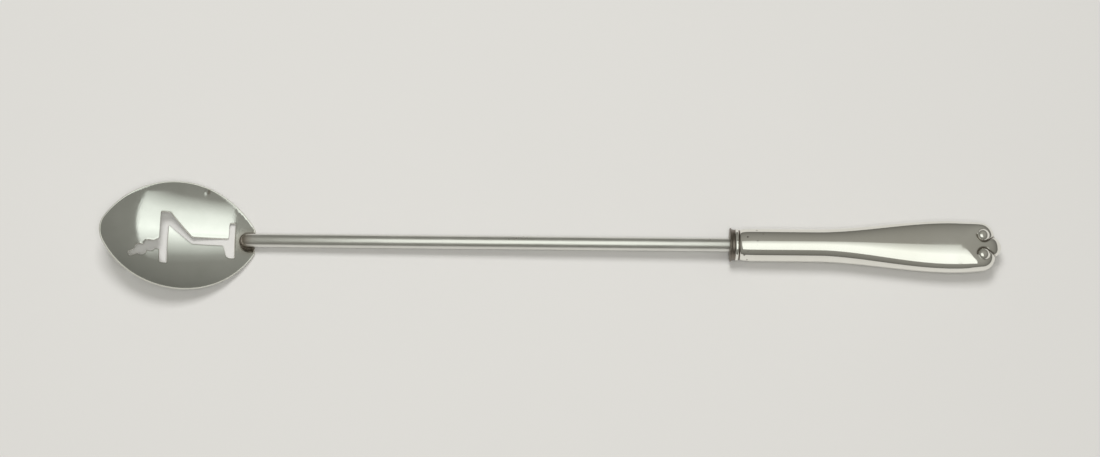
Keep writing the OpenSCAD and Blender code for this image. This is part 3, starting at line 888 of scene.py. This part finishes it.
def handleSilver():
    f = silverFinish
    material, tree, shader = newMaterial("handleSilver", f["bright"], f["roughness"][0])
    along = placeGroup(tree, fineMarks, f["marks"])
    across = placeGroup(tree, fineMarks, f["crossMarks"])
    smudge = placeGroup(tree, handlingClouds, f["smudges"])
    spots = placeGroup(tree, tarnishSpots, f["spots"])
    paintedShade = attributeMask(tree, "paintedShade")
    worn = mathNode(tree, "MULTIPLY", attributeMask(tree, "nearMouth"), spots.outputs["Mask"], clamp=True)
    # painted shade from the mask, together with real tarnish spots near the mouth
    dark = mathNode(tree, "MAXIMUM", paintedShade, worn)
    lines = mathNode(tree, "MAXIMUM", along.outputs["Mask"], across.outputs["Mask"])
    rough = mathNode(tree, "ADD", ramp(tree, smudge.outputs["Mask"], *f["roughness"]),
                     mathNode(tree, "MULTIPLY", lines, f["lineRoughness"]))
    tree.links.new(mathNode(tree, "ADD", rough, mathNode(tree, "MULTIPLY", dark, f["recessRoughness"])),
                   shader.inputs["Roughness"])
    clean = mixColour(tree, smudge.outputs["Mask"], f["cloudy"], f["bright"])
    tree.links.new(mixColour(tree, mathNode(tree, "MULTIPLY", dark, f["tarnishAndShadeShare"]), clean, f["tarnishAndShade"]),
                   shader.inputs["Base Color"])
    heights = mathNode(tree, "ADD", along.outputs["Height"], across.outputs["Height"])
    bump(tree, shader, heights, f["lineStrength"], f["lineDepth"])
    return material


brazeFinish = {
    "light": (0.40, 0.36, 0.31),
    "dark": (0.16, 0.13, 0.11),
    "roughness": (0.34, 0.54),
    "patches": {"Scale": 900.0, "Contrast": 3.0},
    "bumpStrength": 0.4,
    "bumpDepth": 0.0001,
}

capFinish = {
    "light": (0.38, 0.33, 0.28),
    "dark": (0.17, 0.14, 0.11),
    "roughness": (0.32, 0.52),
    "patches": {"Scale": 700.0, "Contrast": 3.0},
    "bumpStrength": 0.4,
    "bumpDepth": 0.0001,
}


def patchyMetal(name, f):
    material, tree, shader = newMaterial(name, f["light"], f["roughness"][0])
    patches = placeGroup(tree, handlingClouds, f["patches"]).outputs["Mask"]
    tree.links.new(mixColour(tree, patches, f["dark"], f["light"]), shader.inputs["Base Color"])
    tree.links.new(ramp(tree, patches, *f["roughness"][::-1]), shader.inputs["Roughness"])
    bump(tree, shader, patches, f["bumpStrength"], f["bumpDepth"])
    return material


cementFinish = {
    "light": (0.8, 0.76, 0.68),
    "dark": (0.6, 0.56, 0.48),
    "roughness": 0.85,
    "grain": {"Scale": 900.0, "Contrast": 2.5},
    "bumpStrength": 0.5,
    "bumpDepth": 0.0002,
}


def handleCement():
    f = cementFinish
    material, tree, shader = newMaterial("handleCement", f["light"], f["roughness"], metal=False)
    grain = placeGroup(tree, handlingClouds, f["grain"]).outputs["Mask"]
    tree.links.new(mixColour(tree, grain, f["dark"], f["light"]), shader.inputs["Base Color"])
    bump(tree, shader, grain, f["bumpStrength"], f["bumpDepth"])
    return material


floorFinish = {
    "light": (0.78, 0.77, 0.75),
    "dark": (0.768, 0.758, 0.739),
    "roughness": 0.75,
    "shine": 0.2,
    "patches": {"Scale": 14.0, "Contrast": 1.2},
    "reach": 20.0,  # metres from the middle to each side
}


def paleFloor():
    f = floorFinish
    material, tree, shader = newMaterial("paleFloor", f["light"], f["roughness"], metal=False)
    shader.inputs["Specular IOR Level"].default_value = f["shine"]
    patches = placeGroup(tree, handlingClouds, f["patches"]).outputs["Mask"]
    tree.links.new(mixColour(tree, patches, f["dark"], f["light"]), shader.inputs["Base Color"])
    return material


def coat(piece, material):
    piece.data.materials.clear()
    piece.data.materials.append(material)


bowlSheet = makeBowl()
print("bowl sheet:", len(bowlSheet.data.polygons), "faces")
spoonRod = makeRod()
print("rod:", len(spoonRod.data.polygons), "faces")
handleShell = makeHandle()
print("handle shell:", len(handleShell.data.polygons), "faces")

coat(bowlSheet, bowlSteel())
coat(spoonRod, rodSteel())
coat(handleShell, handleSilver())
for nodeName, material in (("braze", patchyMetal("silverBraze", brazeFinish)),
                           ("end_cap", patchyMetal("tarnishedSilver", capFinish)),
                           ("cement", handleCement())):
    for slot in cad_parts[nodeName].material_slots:
        slot.material = material
print("materials done")

for piece, slotName, nodes in ((bowlSheet, "bowl_steel", ["bowl"]), (spoonRod, "rod_steel", ["rod"]),
                               (handleShell, "handle_silver", ["handle_front", "handle_back"])):
    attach(piece, "root")
    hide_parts(*nodes)


def makeFloor():
    r = floorFinish["reach"]
    mesh = bpy.data.meshes.new("floor")
    mesh.from_pydata([(-r, -r, 0), (r, -r, 0), (r, r, 0), (-r, r, 0)], [], [(0, 1, 2, 3)])
    floor = bpy.data.objects.new("floor", mesh)
    bpy.context.scene.collection.objects.link(floor)
    coat(floor, paleFloor())


# Two lamps light the floor. The metal shows the soft room and one reflection card for each piece,
# which the floor doesn't see. Places and sizes are in metres
floorLamps = {
    "backKey": {"place": (-0.10, 0.36, 1.2), "size": 0.45, "power": 7.2},
    "frontFill": {"place": (0.0, -0.35, 1.15), "size": 0.3, "power": 4.0},
}

# Each card has its middle, size and turn in degrees, how bright it is from its front edge (0) to its
# back edge (1), how much narrower that is at its left end, and the piece that shows it
cards = {
    "bowlCard": {
        "place": (-0.047, 0.0375, 0.18), "size": (0.154, 0.325), "turn": 0.0, "radiance": 1.0, "taper": 0.8,
        "profile": ((0.0, 0.0), (0.1, 0.3), (0.25, 0.72), (0.477, 1.0), (0.66, 0.45), (0.846, 0.08),
                    (1.0, 0.0)),
        "shownIn": bowlSheet,
    },
    "rodCard": {
        "place": (-0.0085, -0.015, 0.18), "size": (0.167, 0.19), "turn": 0.0, "radiance": 0.96, "taper": 0.0,
        "profile": ((0.0, 1.0), (1.0, 1.0)),
        "shownIn": spoonRod,
    },
    "handleCard": {
        "place": (0.0955, -0.048, 0.12), "size": (0.151, 0.148), "turn": 2.5, "radiance": 0.82, "taper": 0.0,
        "profile": ((0.0, 1.0), (0.72, 1.0), (1.0, 0.38)),
        "shownIn": handleShell,
    },
}
cardTint = (0.96, 1.0, 0.95)
taperMiddle = (0.65, 0.42)  # where on a card, across and from the front, its taper changes nothing

# The room gets dimmer toward the horizon
room = {
    "tint": (1.0, 0.98, 0.88),
    "levels": ((0.0, 0.09), (0.13, 0.18), (1.0, 0.325)),  # sine of the height, and strength
}


def addArea(name, place, size, power):
    data = bpy.data.lights.new(name, "AREA")
    data.shape = "RECTANGLE"
    data.size, data.size_y = size
    data.energy = power
    lamp = bpy.data.objects.new(name, data)
    lamp.location = place
    lamp.visible_camera = False
    bpy.context.scene.collection.objects.link(lamp)
    return lamp


def greyRamp(tree, levels):
    node = addNode(tree, "ShaderNodeValToRGB")
    while len(node.color_ramp.elements) < len(levels):
        node.color_ramp.elements.new(0.5)
    for element, (at, level) in zip(node.color_ramp.elements, levels):
        element.position = at
        element.color = (level, level, level, 1)
    return node


def addCard(name, place, size, turn, radiance, taper, profile, shownIn):
    card = addArea(name, place, size, radiance * math.pi * size[0] * size[1])
    card.rotation_euler = (0, 0, math.radians(turn))
    card.visible_diffuse = False
    viewers = bpy.data.collections.new(name + "Viewers")
    viewers.objects.link(shownIn)
    card.light_linking.receiver_collection = viewers
    card.data.color = cardTint
    card.data.use_nodes = True
    tree = card.data.node_tree
    across = addNode(tree, "ShaderNodeSeparateXYZ")
    tree.links.new(addNode(tree, "ShaderNodeNewGeometry").outputs["Parametric"], across.inputs[0])
    fade = greyRamp(tree, profile)
    stretch = mathNode(tree, "ADD", mathNode(tree, "MULTIPLY", across.outputs["X"], -taper),
                       1 + taperMiddle[0] * taper)
    fromMiddle = mathNode(tree, "SUBTRACT", across.outputs["Y"], taperMiddle[1])
    stretched = mathNode(tree, "ADD", mathNode(tree, "MULTIPLY", fromMiddle, stretch), taperMiddle[1])
    tree.links.new(stretched, fade.inputs[0])
    tree.links.new(fade.outputs["Color"], tree.nodes["Emission"].inputs["Color"])


def makeRoom():
    world = bpy.data.worlds.new("studioRoom")
    world.use_nodes = True
    tree = world.node_tree
    up = addNode(tree, "ShaderNodeSeparateXYZ")
    tree.links.new(addNode(tree, "ShaderNodeTexCoord").outputs["Generated"], up.inputs[0])
    background = tree.nodes["Background"]
    background.inputs["Color"].default_value = (*room["tint"], 1)
    levels = greyRamp(tree, room["levels"])
    tree.links.new(up.outputs["Z"], levels.inputs[0])
    tree.links.new(levels.outputs["Color"], background.inputs["Strength"])
    bpy.context.scene.world = world


makeFloor()
for name, f in floorLamps.items():
    lamp = addArea(name, f["place"], (f["size"], f["size"]), f["power"])
    lamp.rotation_euler = (-Vector(f["place"])).to_track_quat("-Z", "Y").to_euler()
    lamp.visible_glossy = False
for name, card in cards.items():
    addCard(name, **card)
makeRoom()

view = {
    "tilt": 17.0,  # degrees from straight down, toward the front
    "roll": 0.55,
    "distance": 1000.0,
    "pixel": 0.352,  # millimetres a pixel at that distance
    "frame": (1100, 457),
    "mouthAt": (729.4, 244.9),  # where the handle's mouth shows in that frame
    "sensor": 36.0,
}


def makeCamera():
    t, r = math.radians(view["tilt"]), math.radians(view["roll"])
    backward = np.array([0, -math.sin(t), math.cos(t)])
    right0, up0 = np.array([1.0, 0, 0]), np.array([0, math.cos(t), math.sin(t)])
    right = math.cos(r) * right0 + math.sin(r) * up0
    up = -math.sin(r) * right0 + math.cos(r) * up0
    aside = (view["mouthAt"][0] - view["frame"][0] / 2) * view["pixel"]
    above = (view["frame"][1] / 2 - view["mouthAt"][1]) * view["pixel"]
    place = -(aside * right + above * up - view["distance"] * backward)
    columns = [turnY(axis, -lean) for axis in (right, up, backward)] + [layDown(place) / 1000]
    data = bpy.data.cameras.new("camera")
    data.sensor_width = view["sensor"]
    data.lens = view["distance"] / view["pixel"] / view["frame"][0] * view["sensor"]
    data.clip_start, data.clip_end = 0.05, 60
    camera = bpy.data.objects.new("camera", data)
    bpy.context.scene.collection.objects.link(camera)
    camera.matrix_world = Matrix([[column[i] for column in columns] for i in range(3)] + [(0, 0, 0, 1)])
    bpy.context.scene.camera = camera


makeCamera()
bpy.context.scene.view_settings.view_transform = "Standard"
print("floor, lamps and camera done")
